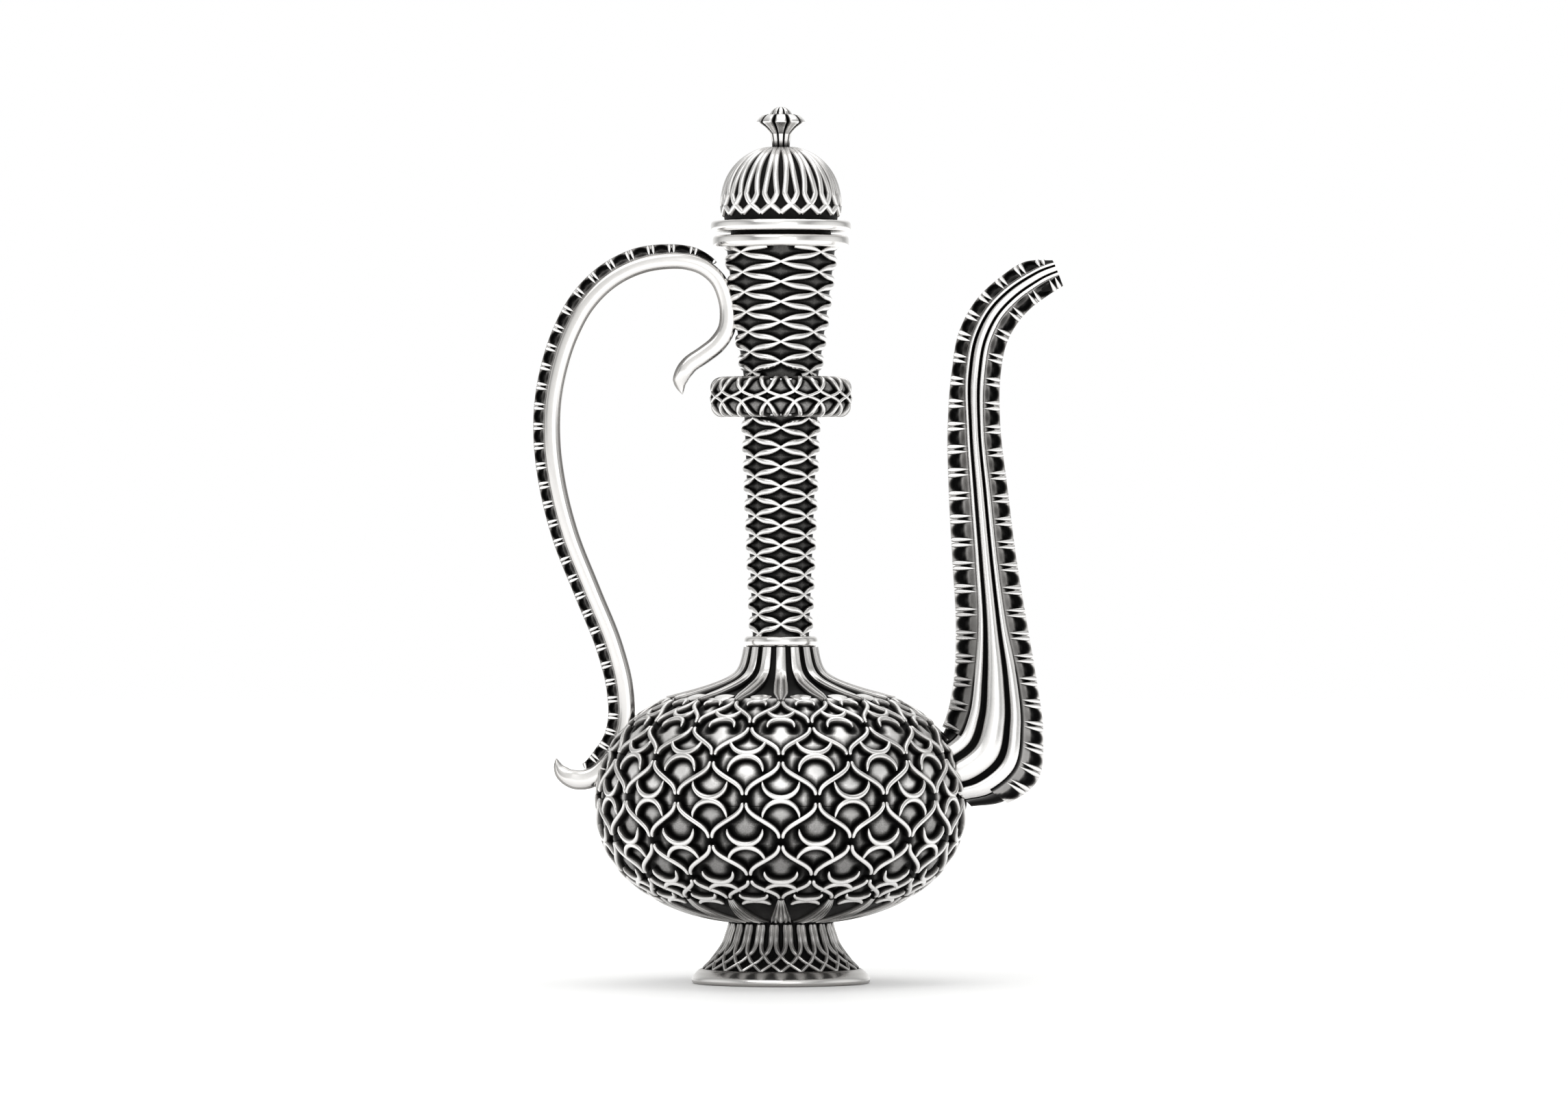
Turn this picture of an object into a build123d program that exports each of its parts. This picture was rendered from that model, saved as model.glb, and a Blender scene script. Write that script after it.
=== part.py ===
from build123d import *
import math
import os

# A dallah: a footed silver coffee pot with a waisted neck, a domed lift-off lid, a beak
# spout towards +X and a hooked strap handle towards -X. Millimetres, +Z up, origin at the
# centre of the face it stands on.

# ------------------------------------------------------------------ driving dimensions

# Heights above the table
BASE_TOP = 5.0
BODY_MIDDLE = 62.5
LATTICE_BOTTOM = 27.1
LATTICE_TOP = 97.45
COLLAR_BOTTOM = 115.4
COLLAR_TOP = 119.1
KNOP_BOTTOM = 194.1
KNOP_TOP = 208.1
RIM_BOTTOM = 252.4
RIM_TOP = 256.5
LID_BOTTOM = 257.8
LID_TOP = 261.5
DOME_MIDDLE = 266.5
DOME_TOP = 287.5
FLOWER_BOTTOM = 291.4
FLOWER_TOP = 298.0
STUD_BOTTOM = 282.6
POT_TOP = 300.8

# Radii
BASE_RADIUS = 30.7
BASE_BORE = 22.5
COLLAR_RADIUS = 12.6
COLLAR_BORE = 8.4
KNOP_RADIUS = 24.5
RIM_RADIUS = 23.4
MOUTH_BORE = 16.0
LID_RADIUS = 24.1
LID_SEAT_RADIUS = 17.2
DOME_RADIUS = 20.9
DOME_POWER = 2.15
FLOWER_RADIUS = 8.7
STEM_RADIUS = 3.15
STUD_RADIUS = 1.5
NUT_RADIUS = 3.1

# The body: a superellipse spun about the axis, measured over its raised pattern
BODY_RADIUS = 63.9
BODY_HALF_HEIGHT = 42.4
BODY_POWER = 2.3
SIDE_RELIEF = 2.7
CROWN_RELIEF = 1.7
PETAL_TURNS = (54.3, 76.4)
SHOULDER_BORE = 36.0

# Sheet thicknesses, depths of raised work, and fits
WALL = 1.4
NECK_WALL = 1.3
NECK_BORE = 10.8
NECK_RELIEF = 1.85
KNOP_RELIEF = 1.8
KNOP_SKIN = 0.6
DOME_RELIEF = 1.2
RIB_PLAY = 0.03
LID_PLAY = 0.3
TENON_LENGTH = 9.5

# Repeats around the pot
FOOT_RIBS = 24
BODY_RIBS = 16
DOME_RIBS = 18
FLOWER_PETALS = 10

# Outlines and grounds of the turned pieces, as (radius, height)
FOOT_OUTLINE = [(26.9, BASE_TOP), (22.7, 10.3), (20.0, 14.6), (18.5, 19.0), (17.9, 22.4)]
FOOT_GROUND = [(25.6, BASE_TOP), (21.3, 10.3), (18.7, 14.6), (17.3, 19.0), (16.8, 24.0)]
SHOULDER_OUTLINE = [(40.8, LATTICE_TOP), (28.7, 101.1), (20.7, 103.9), (15.9, 106.4),
                    (13.7, 110.3), (12.5, 114.6)]
SHOULDER_GROUND = [(SHOULDER_BORE, LATTICE_TOP), (26.0, 100.3), (17.6, 103.6), (13.6, 107.6),
                   (11.9, 111.6), (11.2, COLLAR_BOTTOM)]
LOWER_NECK_OUTLINE = [(11.15, COLLAR_TOP), (14.05, KNOP_BOTTOM)]
UPPER_NECK_OUTLINE = [(14.2, KNOP_TOP), (17.3, 230.0), (20.1, RIM_BOTTOM)]

# Handle: centreline of its flat strap in the XZ plane, from the hook at the neck, over the
# top and down to the curl beside the body. The strap's width and the height of the rail on
# its outer edge are given as (fraction of the line, size).
HANDLE_HALF_DEPTH = 4.4
RAIL_HALF_DEPTH = 3.0
STRAP_WIDTHS = [(0.0, 5.3), (0.03, 6.1), (0.09, 6.1), (0.15, 5.4), (0.92, 5.4), (0.96, 6.8),
                (0.98, 6.5), (1.0, 4.9)]
RAIL_HEIGHTS = [(0.17, 1.9), (0.19, 3.1), (0.25, 4.0), (0.93, 4.0), (0.965, 2.8)]
HANDLE_LINE = [
    (-34.4, 206.6),
    (-31.5, 211.9),
    (-21.9, 219.3),
    (-18.1, 229.0),
    (-22.2, 242.0),
    (-36.0, 247.8),
    (-54.0, 243.6),
    (-66.3, 232.8),
    (-74.3, 216.4),
    (-78.1, 196.0),
    (-76.9, 173.4),
    (-70.0, 147.4),
    (-59.2, 122.0),
    (-53.5, 103.0),
    (-53.4, 88.0),
    (-60.2, 74.2),
    (-69.0, 69.7),
    (-74.0, 71.4),
]
HOOK_TIP = (-33.8, 202.1)
CURL_TIP = (-77.1, 77.1)

# Spout: its front and back edges in the XZ plane, its half depth in Y and how much of each
# edge is the raised rail, from the open tip down to the root inside the body
SPOUT_RAIL = 3.4
SPOUT_RAIL_HALF_DEPTH = 3.6
SPOUT_WALL = 1.2
REED_HEIGHT = 1.3
REED_SHARE = 0.62
SPOUT_STATIONS = [
    ((93.2, 248.1), (96.8, 239.3), 5.0, 0.7),
    ((84.0, 247.6), (91.5, 235.9), 5.3, 2.0),
    ((75.0, 242.1), (85.3, 231.2), 5.6, 3.0),
    ((66.8, 234.2), (80.4, 225.4), 5.9, SPOUT_RAIL),
    ((61.3, 224.1), (77.1, 218.6), 6.1, SPOUT_RAIL),
    ((58.6, 210.0), (75.2, 207.6), 6.3, SPOUT_RAIL),
    ((57.2, 191.0), (75.2, 191.4), 6.7, SPOUT_RAIL),
    ((57.6, 168.0), (77.8, 168.8), 7.2, SPOUT_RAIL),
    ((58.8, 145.0), (80.8, 145.0), 8.0, SPOUT_RAIL),
    ((60.0, 122.0), (84.7, 121.6), 9.4, SPOUT_RAIL),
    ((59.4, 105.0), (87.8, 103.0), 11.2, SPOUT_RAIL),
    ((57.4, 94.0), (89.9, 86.5), 12.8, SPOUT_RAIL),
    ((54.6, 86.5), (87.6, 68.9), 14.0, SPOUT_RAIL),
    ((51.5, 81.0), (76.5, 61.4), 14.4, SPOUT_RAIL),
    ((47.0, 79.0), (66.0, 60.0), 13.6, SPOUT_RAIL),
]
POUR_HOLE_HEIGHT = 75.0
POUR_HOLE_HALF_SIZE = (7.0, 8.0)


# ------------------------------------------------------------------ shapes used repeatedly

def draw(points):
    """Draw a straight line through two points, or a smooth curve through more."""
    if len(points) == 2:
        Line(*points)
    else:
        Spline(*points)


def spin(outer, inner, arc=360.0):
    """Revolve the wall between two (radius, height) curves about the pot's axis."""
    with BuildSketch(Plane.XZ) as section:
        with BuildLine():
            draw(outer)
            draw(inner)
            Line(outer[0], inner[0])
            Line(outer[-1], inner[-1])
        make_face()
    revolve(section.sketch, axis=Axis.Z, revolution_arc=arc)


def ring(radius, bore, bottom, top):
    """A flat ring, or a plain disc where the bore is 0."""
    spin([(radius, bottom), (radius, top)], [(bore, bottom), (bore, top)])


def lower(points, drop):
    """The same curve with every radius smaller by drop."""
    return [(radius - drop, height) for radius, height in points]


def round_rims(part, size):
    """Fillet the outermost circular edges of a turned piece."""
    fillet(part.edges().filter_by(GeomType.CIRCLE).group_by(SortBy.RADIUS)[-1], size)


def body_curve(first, last, side, relief=0.0, inset=0.0):
    """The body's outline between two turns from its middle, in degrees.

    side is +1 above the middle and -1 below it. relief goes from 0, over the raised
    pattern, to 1, on the ground behind it, and inset goes on through the wall.
    """
    radius = BODY_RADIUS - SIDE_RELIEF * relief - inset
    half_height = BODY_HALF_HEIGHT - CROWN_RELIEF * relief - inset
    points = []
    for step in range(9):
        turn = math.radians(first + (last - first) * step / 8)
        across = radius * math.cos(turn) ** (2 / BODY_POWER)
        up = half_height * math.sin(turn) ** (2 / BODY_POWER)
        points.append((across, BODY_MIDDLE + side * up))
    return points


def solid_body(relief, inset=0.0):
    """The whole body as a filled solid, over its pattern, its ground or its inner wall."""
    curve = body_curve(0, 90, 1, relief, inset)
    middle = (0, BODY_MIDDLE)
    with BuildSketch(Plane.XZ) as half:
        with BuildLine():
            Spline(*curve)
            Line(middle, curve[0])
            Line(middle, curve[-1])
        make_face()
    revolve(half.sketch, axis=Axis.Z)
    mirror(about=Plane.XY.offset(BODY_MIDDLE))


def along(table, place):
    """The size at a fraction of a line, from a table of (fraction, size)."""
    for (start, first), (end, last) in zip(table, table[1:]):
        if place <= end:
            return first + (last - first) * (place - start) / (end - start)
    return table[-1][1]


def beside(path, offset, start=0.0, end=1.0, count=56):
    """Points beside a planar path: offset gives the distance to its left at each fraction."""
    points = []
    for step in range(count + 1):
        place = start + (end - start) * step / count
        heading = path.tangent_at(place)
        point = path.position_at(place)
        distance = offset(place)
        points.append((point.X - distance * heading.Y, point.Y + distance * heading.X))
    return points


def plate(first_edge, second_edge, half_depth, first_tip=None, last_tip=None):
    """A plate in the XZ plane between two edge curves, its ends square or run to a point."""
    with BuildSketch(Plane.XZ) as outline:
        with BuildLine():
            Spline(*first_edge)
            Spline(*second_edge)
            for end, tip in ((0, first_tip), (-1, last_tip)):
                if tip:
                    Line(first_edge[end], tip)
                    Line(tip, second_edge[end])
                else:
                    Line(first_edge[end], second_edge[end])
        make_face()
    extrude(outline.sketch, amount=half_depth, both=True)


def spout_loft(wall=0.0, side_extra=0.0, share=1.0):
    """Loft ellipses across the spout's stations, between its rails and inside a wall."""
    sections = []
    for front, back, half_depth, rail in SPOUT_STATIONS:
        span = Vector(back[0] - front[0], 0, back[1] - front[1])
        middle = ((front[0] + back[0]) / 2, 0, (front[1] + back[1]) / 2)
        across = Plane(origin=middle, x_dir=span, z_dir=span.cross(Vector(0, 1, 0)))
        with BuildSketch(across) as section:
            Ellipse((span.length / 2 - rail - wall) * share, half_depth - wall + side_extra)
        sections.append(section.sketch)
    loft(sections)


# ------------------------------------------------------------------ envelopes to cut against

with BuildPart() as over_pattern:
    solid_body(relief=0)

with BuildPart() as over_ground:
    solid_body(relief=1)

with BuildPart() as inside_wall:
    solid_body(relief=1, inset=WALL)

with BuildPart() as upper_neck_filled:
    spin(UPPER_NECK_OUTLINE, [(0, KNOP_TOP), (0, RIM_BOTTOM)])

with BuildPart() as spout_filled:
    spout_loft()
    add(over_ground.part, mode=Mode.SUBTRACT)


# ------------------------------------------------------------------ handle

with BuildLine() as handle_line:
    Spline(*HANDLE_LINE)
strap_path = handle_line.edge()

def inner_edge(place):
    return along(STRAP_WIDTHS, place) / 2


def outer_edge(place):
    return -inner_edge(place)


def rail_top(place):
    return outer_edge(place) - along(RAIL_HEIGHTS, place)


with BuildPart() as handle_strap:
    plate(beside(strap_path, inner_edge), beside(strap_path, outer_edge),
          HANDLE_HALF_DEPTH, HOOK_TIP, CURL_TIP)
    add(upper_neck_filled.part, mode=Mode.SUBTRACT)
    add(over_ground.part, mode=Mode.SUBTRACT)

with BuildPart() as handle_rail:
    stretch = RAIL_HEIGHTS[0][0], RAIL_HEIGHTS[-1][0]
    plate(beside(strap_path, outer_edge, *stretch), beside(strap_path, rail_top, *stretch),
          RAIL_HALF_DEPTH)
    add(handle_strap.part, mode=Mode.SUBTRACT)
    add(over_pattern.part, mode=Mode.SUBTRACT)


# ------------------------------------------------------------------ foot

with BuildPart() as base_ring:
    with BuildSketch(Plane.XZ):
        with BuildLine():
            Polyline((BASE_BORE, BASE_TOP), (BASE_BORE, 0), (30.2, 0), (BASE_RADIUS, 1.2), (30.4, 2.3))
            ThreePointArc((30.4, 2.3), (29.2, 3.8), (27.0, BASE_TOP))
            Line((27.0, BASE_TOP), (BASE_BORE, BASE_TOP))
        make_face()
    revolve(axis=Axis.Z)

with BuildPart() as base_plate:
    ring(radius=BASE_BORE, bore=0, bottom=0, top=WALL)

with BuildPart() as foot_cone:
    spin(FOOT_GROUND, lower(FOOT_GROUND, WALL))
    add(over_ground.part, mode=Mode.SUBTRACT)

with BuildPart() as foot_rib:
    spin(FOOT_OUTLINE, lower(FOOT_GROUND[:-1] + [(16.85, 22.4)], -RIB_PLAY), arc=8)

with BuildPart() as foot_tracery:
    with PolarLocations(0, FOOT_RIBS, start_angle=-4):
        add(foot_rib.part)
    ring(radius=18.0, bore=17.2, bottom=20.0, top=21.2)
    add(over_pattern.part, mode=Mode.SUBTRACT)


# ------------------------------------------------------------------ body

with BuildPart() as bowl:
    add(over_ground.part)
    add(inside_wall.part, mode=Mode.SUBTRACT)
    split(bisect_by=Plane.XY.offset(BODY_MIDDLE), keep=Keep.BOTTOM)

with BuildPart() as shoulder_shell:
    add(over_ground.part)
    add(inside_wall.part, mode=Mode.SUBTRACT)
    split(bisect_by=Plane.XY.offset(BODY_MIDDLE), keep=Keep.TOP)
    with Locations((0, 0, LATTICE_TOP)):
        Cylinder(SHOULDER_BORE, 40, mode=Mode.SUBTRACT)
    with BuildSketch(Plane.YZ) as pour_hole:
        with Locations((0, POUR_HOLE_HEIGHT)):
            Ellipse(*POUR_HOLE_HALF_SIZE)
    extrude(pour_hole.sketch, amount=BODY_RADIUS, mode=Mode.SUBTRACT)

with BuildPart() as shoulder_cone:
    spin(SHOULDER_GROUND, [(radius - 0.6, height - WALL) for radius, height in SHOULDER_GROUND])
    ring(SHOULDER_GROUND[-1][0], COLLAR_BORE, COLLAR_BOTTOM - WALL, COLLAR_BOTTOM)

with BuildPart() as lower_lattice:
    add(over_pattern.part)
    add(over_ground.part, mode=Mode.SUBTRACT)
    split(bisect_by=Plane.XY.offset(BODY_MIDDLE), keep=Keep.BOTTOM)
    split(bisect_by=Plane.XY.offset(LATTICE_BOTTOM), keep=Keep.TOP)
    add(spout_filled.part, mode=Mode.SUBTRACT)

with BuildPart() as upper_lattice:
    add(over_pattern.part)
    add(over_ground.part, mode=Mode.SUBTRACT)
    split(bisect_by=Plane.XY.offset(BODY_MIDDLE), keep=Keep.TOP)
    split(bisect_by=Plane.XY.offset(LATTICE_TOP), keep=Keep.BOTTOM)
    add(spout_filled.part, mode=Mode.SUBTRACT)
    add(handle_strap.part, mode=Mode.SUBTRACT)

with BuildPart() as petal:
    over = body_curve(*PETAL_TURNS, side=-1)
    ground = body_curve(*PETAL_TURNS, side=-1, relief=1)
    spin(over, ground, arc=14)

with BuildPart() as foot_petals:
    with PolarLocations(0, BODY_RIBS, start_angle=-7):
        add(petal.part)
    split(bisect_by=Plane.XY.offset(LATTICE_BOTTOM), keep=Keep.BOTTOM)
    ring(radius=19.4, bore=17.6, bottom=21.4, top=24.0)
    add(over_ground.part, mode=Mode.SUBTRACT)

with BuildPart() as shoulder_rib:
    spin(SHOULDER_OUTLINE, SHOULDER_GROUND, arc=15)

with BuildPart() as shoulder_ribs:
    with PolarLocations(0, BODY_RIBS, start_angle=-7.5):
        add(shoulder_rib.part)
    ring(radius=12.5, bore=11.4, bottom=113.4, top=COLLAR_BOTTOM)
    add(shoulder_cone.part, mode=Mode.SUBTRACT)


# ------------------------------------------------------------------ neck

with BuildPart() as neck_collar:
    ring(COLLAR_RADIUS, COLLAR_BORE, COLLAR_BOTTOM, COLLAR_TOP)
    round_rims(neck_collar, 1.2)

with BuildPart() as lower_neck:
    outside = [(LOWER_NECK_OUTLINE[0][0] - NECK_RELIEF, COLLAR_TOP), (12.2, KNOP_BOTTOM + KNOP_SKIN)]
    spin(outside, lower(outside, NECK_WALL))

with BuildPart() as lower_neck_lattice:
    spin(LOWER_NECK_OUTLINE, lower(LOWER_NECK_OUTLINE, NECK_RELIEF + NECK_WALL / 2))
    add(lower_neck.part, mode=Mode.SUBTRACT)

with BuildPart() as knop_filled:
    ring(KNOP_RADIUS - KNOP_RELIEF, 0, KNOP_BOTTOM + KNOP_SKIN, KNOP_TOP - KNOP_SKIN)
    round_rims(knop_filled, 2.4)

with BuildPart() as knop:
    add(knop_filled.part)
    with BuildSketch(Plane.XY.offset(KNOP_BOTTOM)) as knop_bore:
        Circle(NECK_BORE)
    extrude(knop_bore.sketch, amount=KNOP_TOP - KNOP_BOTTOM, mode=Mode.SUBTRACT)
    with BuildSketch(Plane.XY.offset(KNOP_BOTTOM + KNOP_SKIN + WALL)) as knop_hollow:
        Circle(KNOP_RADIUS - KNOP_RELIEF - WALL)
    extrude(knop_hollow.sketch, amount=KNOP_TOP - KNOP_BOTTOM - 2 * (KNOP_SKIN + WALL),
            mode=Mode.SUBTRACT)

with BuildPart() as knop_lattice:
    ring(KNOP_RADIUS, 14.8, KNOP_BOTTOM, KNOP_TOP)
    round_rims(knop_lattice, 4.0)
    add(knop_filled.part, mode=Mode.SUBTRACT)

with BuildPart() as upper_neck:
    outside = lower(UPPER_NECK_OUTLINE, NECK_RELIEF)
    outside[0] = (outside[0][0] - 0.05, KNOP_TOP - KNOP_SKIN)
    spin(outside, lower(outside, NECK_WALL))

with BuildPart() as upper_neck_lattice:
    spin(UPPER_NECK_OUTLINE, lower(UPPER_NECK_OUTLINE, NECK_RELIEF + NECK_WALL / 2))
    add(upper_neck.part, mode=Mode.SUBTRACT)

with BuildPart() as mouth_rim:
    ring(RIM_RADIUS, MOUTH_BORE, RIM_BOTTOM, RIM_TOP)
    round_rims(mouth_rim, 1.2)


# ------------------------------------------------------------------ spout

with BuildPart() as spout_bore:
    spout_loft(wall=SPOUT_WALL)

with BuildPart() as spout_tube:
    add(spout_filled.part)
    add(spout_bore.part, mode=Mode.SUBTRACT)


def spout_rail(outer_side, inner_side, last_station):
    """A raised rail along one edge of the spout, from its tip to a station near the root."""
    stations = SPOUT_STATIONS[:last_station]
    outer = [station[outer_side] for station in stations]
    inner = []
    for station in stations:
        edge = station[outer_side]
        far = station[inner_side]
        inner.append((edge[0] + 0.4 * (far[0] - edge[0]), edge[1] + 0.4 * (far[1] - edge[1])))
    plate(outer, inner, SPOUT_RAIL_HALF_DEPTH)
    add(spout_filled.part, mode=Mode.SUBTRACT)
    add(over_pattern.part, mode=Mode.SUBTRACT)


with BuildPart() as spout_front_rail:
    spout_rail(0, 1, 12)

with BuildPart() as spout_back_rail:
    spout_rail(1, 0, 14)

with BuildPart() as reeds:
    spout_loft(side_extra=REED_HEIGHT, share=REED_SHARE)
    add(spout_filled.part, mode=Mode.SUBTRACT)
    add(over_pattern.part, mode=Mode.SUBTRACT)

with BuildPart() as spout_left_reeds:
    add(reeds.part)
    split(bisect_by=Plane.XZ, keep=Keep.BOTTOM)

with BuildPart() as spout_right_reeds:
    add(reeds.part)
    split(bisect_by=Plane.XZ, keep=Keep.TOP)


# ------------------------------------------------------------------ lid

def dome_solid(relief, inset=0.0):
    """The lid's dome as a filled solid, over its ribs (relief 0) or its ground (relief 1)."""
    radius = DOME_RADIUS - DOME_RELIEF * relief - inset
    rise = DOME_TOP - DOME_MIDDLE - 0.9 * DOME_RELIEF * relief - inset
    curve = [(radius - 0.4, LID_TOP)]
    for step in range(9):
        turn = math.radians(90 * step / 8)
        across = radius * math.cos(turn) ** (2 / DOME_POWER)
        up = rise * math.sin(turn) ** (2 / DOME_POWER)
        curve.append((across, DOME_MIDDLE + up))
    with BuildSketch(Plane.XZ) as half:
        with BuildLine():
            Spline(*curve)
            Line((0, LID_TOP), curve[0])
            Line((0, LID_TOP), curve[-1])
        make_face()
    revolve(half.sketch, axis=Axis.Z)


with BuildPart() as lid_plug:
    ring(LID_SEAT_RADIUS, 0, RIM_TOP, LID_BOTTOM)
    ring(MOUTH_BORE - LID_PLAY, 0, RIM_TOP - TENON_LENGTH, RIM_TOP)
    with BuildSketch(Plane.XY.offset(RIM_TOP - TENON_LENGTH + WALL)) as plug_hollow:
        Circle(MOUTH_BORE - LID_PLAY - WALL)
    extrude(plug_hollow.sketch, amount=2 * TENON_LENGTH, mode=Mode.SUBTRACT)

with BuildPart() as lid_flange:
    ring(LID_RADIUS, MOUTH_BORE - LID_PLAY - WALL, LID_BOTTOM, LID_TOP)
    round_rims(lid_flange, 1.2)

with BuildPart() as dome_ground:
    dome_solid(relief=1)

with BuildPart() as dome_hollow:
    dome_solid(relief=1, inset=WALL)

with BuildPart() as lid_dome:
    dome_solid(relief=1)
    add(dome_hollow.part, mode=Mode.SUBTRACT)
    with BuildSketch(Plane.XY.offset(LID_TOP)) as stud_hole:
        Circle(STUD_RADIUS)
    extrude(stud_hole.sketch, amount=DOME_TOP - LID_TOP, mode=Mode.SUBTRACT)

with BuildPart() as dome_slot:
    spin([(30.0, LID_TOP - 1), (30.0, DOME_TOP + 1)], [(5.5, LID_TOP - 1), (5.5, DOME_TOP + 1)], arc=12)

with BuildPart() as lid_tracery:
    dome_solid(relief=0)
    add(dome_ground.part, mode=Mode.SUBTRACT)
    with BuildSketch(Plane.XY.offset(LID_TOP)) as stem_hole:
        Circle(STEM_RADIUS)
    extrude(stem_hole.sketch, amount=DOME_TOP - LID_TOP + 1, mode=Mode.SUBTRACT)
    with PolarLocations(0, DOME_RIBS, start_angle=-6):
        add(dome_slot.part, mode=Mode.SUBTRACT)

with BuildPart() as finial_stem:
    spin([(STEM_RADIUS, 285.5), (3.3, 290.0), (3.7, FLOWER_BOTTOM)], [(0, 285.5), (0, FLOWER_BOTTOM)])
    add(dome_ground.part, mode=Mode.SUBTRACT)
    ring(STUD_RADIUS, 0, STUD_BOTTOM, FLOWER_BOTTOM)

with BuildPart() as finial_nut:
    with BuildSketch(Plane.XY.offset(STUD_BOTTOM + 0.5)):
        RegularPolygon(NUT_RADIUS, 6)
        Circle(STUD_RADIUS, mode=Mode.SUBTRACT)
    extrude(amount=3.0)
    add(lid_dome.part, mode=Mode.SUBTRACT)
    split(bisect_by=Plane.XY.offset(DOME_TOP - 2.2), keep=Keep.BOTTOM)

with BuildPart() as finial_flower:
    with BuildSketch(Plane.XZ):
        with BuildLine():
            Polyline((0, FLOWER_BOTTOM), (3.7, FLOWER_BOTTOM), (6.3, 293.7), (FLOWER_RADIUS, 295.2),
                     (8.3, 295.9), (7.0, 297.3), (5.6, FLOWER_TOP), (0, FLOWER_TOP), close=True)
        make_face()
    revolve(axis=Axis.Z)
    with BuildSketch(Plane.XY.offset(FLOWER_BOTTOM)):
        with PolarLocations(FLOWER_RADIUS + 0.4, FLOWER_PETALS, start_angle=18):
            Circle(1.1)
    extrude(amount=FLOWER_TOP - FLOWER_BOTTOM, mode=Mode.SUBTRACT)

with BuildPart() as finial_button:
    with BuildSketch(Plane.XZ):
        with BuildLine():
            Polyline((0, FLOWER_TOP), (3.7, FLOWER_TOP), (3.1, 299.2), (2.35, 300.1), (1.2, 300.6),
                     (0, POT_TOP), close=True)
        make_face()
    revolve(axis=Axis.Z)


# ------------------------------------------------------------------ labels and files

PIECES = {
    "base_ring": base_ring,
    "base_plate": base_plate,
    "foot_cone": foot_cone,
    "foot_tracery": foot_tracery,
    "foot_petals": foot_petals,
    "bowl": bowl,
    "shoulder_shell": shoulder_shell,
    "lower_lattice": lower_lattice,
    "upper_lattice": upper_lattice,
    "shoulder_cone": shoulder_cone,
    "shoulder_ribs": shoulder_ribs,
    "neck_collar": neck_collar,
    "lower_neck": lower_neck,
    "lower_neck_lattice": lower_neck_lattice,
    "knop": knop,
    "knop_lattice": knop_lattice,
    "upper_neck": upper_neck,
    "upper_neck_lattice": upper_neck_lattice,
    "mouth_rim": mouth_rim,
    "handle_strap": handle_strap,
    "handle_rail": handle_rail,
    "spout_tube": spout_tube,
    "spout_front_rail": spout_front_rail,
    "spout_back_rail": spout_back_rail,
    "spout_left_reeds": spout_left_reeds,
    "spout_right_reeds": spout_right_reeds,
    "lid_plug": lid_plug,
    "lid_flange": lid_flange,
    "lid_dome": lid_dome,
    "lid_tracery": lid_tracery,
    "finial_stem": finial_stem,
    "finial_nut": finial_nut,
    "finial_flower": finial_flower,
    "finial_button": finial_button,
}

os.makedirs("parts", exist_ok=True)
for name, piece in PIECES.items():
    piece.part.label = name
    export_step(piece.part, f"parts/{name}.step")
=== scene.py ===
import math

import bpy
import numpy as np
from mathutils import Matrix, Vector

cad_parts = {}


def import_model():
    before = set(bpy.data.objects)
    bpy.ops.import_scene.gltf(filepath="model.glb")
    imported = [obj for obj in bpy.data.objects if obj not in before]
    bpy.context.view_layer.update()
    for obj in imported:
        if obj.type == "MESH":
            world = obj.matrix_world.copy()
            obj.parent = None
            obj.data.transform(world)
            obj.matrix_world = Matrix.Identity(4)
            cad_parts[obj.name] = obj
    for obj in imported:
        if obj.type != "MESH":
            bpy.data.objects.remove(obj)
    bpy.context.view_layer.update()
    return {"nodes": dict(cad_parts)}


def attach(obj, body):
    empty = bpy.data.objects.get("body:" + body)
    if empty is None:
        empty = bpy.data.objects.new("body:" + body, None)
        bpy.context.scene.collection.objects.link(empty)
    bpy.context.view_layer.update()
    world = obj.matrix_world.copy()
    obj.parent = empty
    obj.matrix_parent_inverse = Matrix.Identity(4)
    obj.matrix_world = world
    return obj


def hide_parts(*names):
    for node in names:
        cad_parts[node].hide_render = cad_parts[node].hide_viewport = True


# A silver dallah dressed over its CAD frame. Sizes below are millimetres and degrees; turns
# about the pot's axis start at -Y and grow towards +X, so the spout lies at 90.

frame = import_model()

MM = 0.001


# ------------------------------------------------------------------ lines and outlines

def smooth_line(knots, steps=12):
    """A dense smooth line through given knots; every column is carried along."""
    knots = np.array(knots, float)
    gaps = np.linalg.norm(np.diff(knots, axis=0), axis=1)
    at = np.concatenate([[0.0], np.cumsum(gaps)])
    slopes = np.gradient(knots, at, axis=0)
    t = (np.arange(steps) / steps)[:, None]
    rows = []
    for i, gap in enumerate(gaps):
        rows.append((2 * t**3 - 3 * t**2 + 1) * knots[i]
                    + (t**3 - 2 * t**2 + t) * gap * slopes[i]
                    + (3 * t**2 - 2 * t**3) * knots[i + 1]
                    + (t**3 - t**2) * gap * slopes[i + 1])
    rows.append(knots[-1:])
    return np.vstack(rows)


def lengths(line):
    """How far along a line of points each one lies."""
    return np.concatenate([[0.0], np.cumsum(np.linalg.norm(np.diff(line, axis=0), axis=1))])


def ease(share):
    """0 to 1 with a flat start and finish."""
    share = np.clip(share, 0.0, 1.0)
    return share * share * (3 - 2 * share)


def swing(share):
    """Like ease, with a longer start and finish."""
    return share**3 * (share * (6 * share - 15) + 10)


def unit(vectors):
    """Vectors scaled to a length of 1."""
    return vectors / np.linalg.norm(vectors, axis=-1, keepdims=True)


def around(turn, radius, height):
    """Points at a turn, a radius and a height."""
    angle = np.radians(turn)
    turn, radius, height = np.broadcast_arrays(angle, radius, height)
    return np.stack([radius * np.sin(angle), -radius * np.cos(angle), height], axis=-1)


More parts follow.
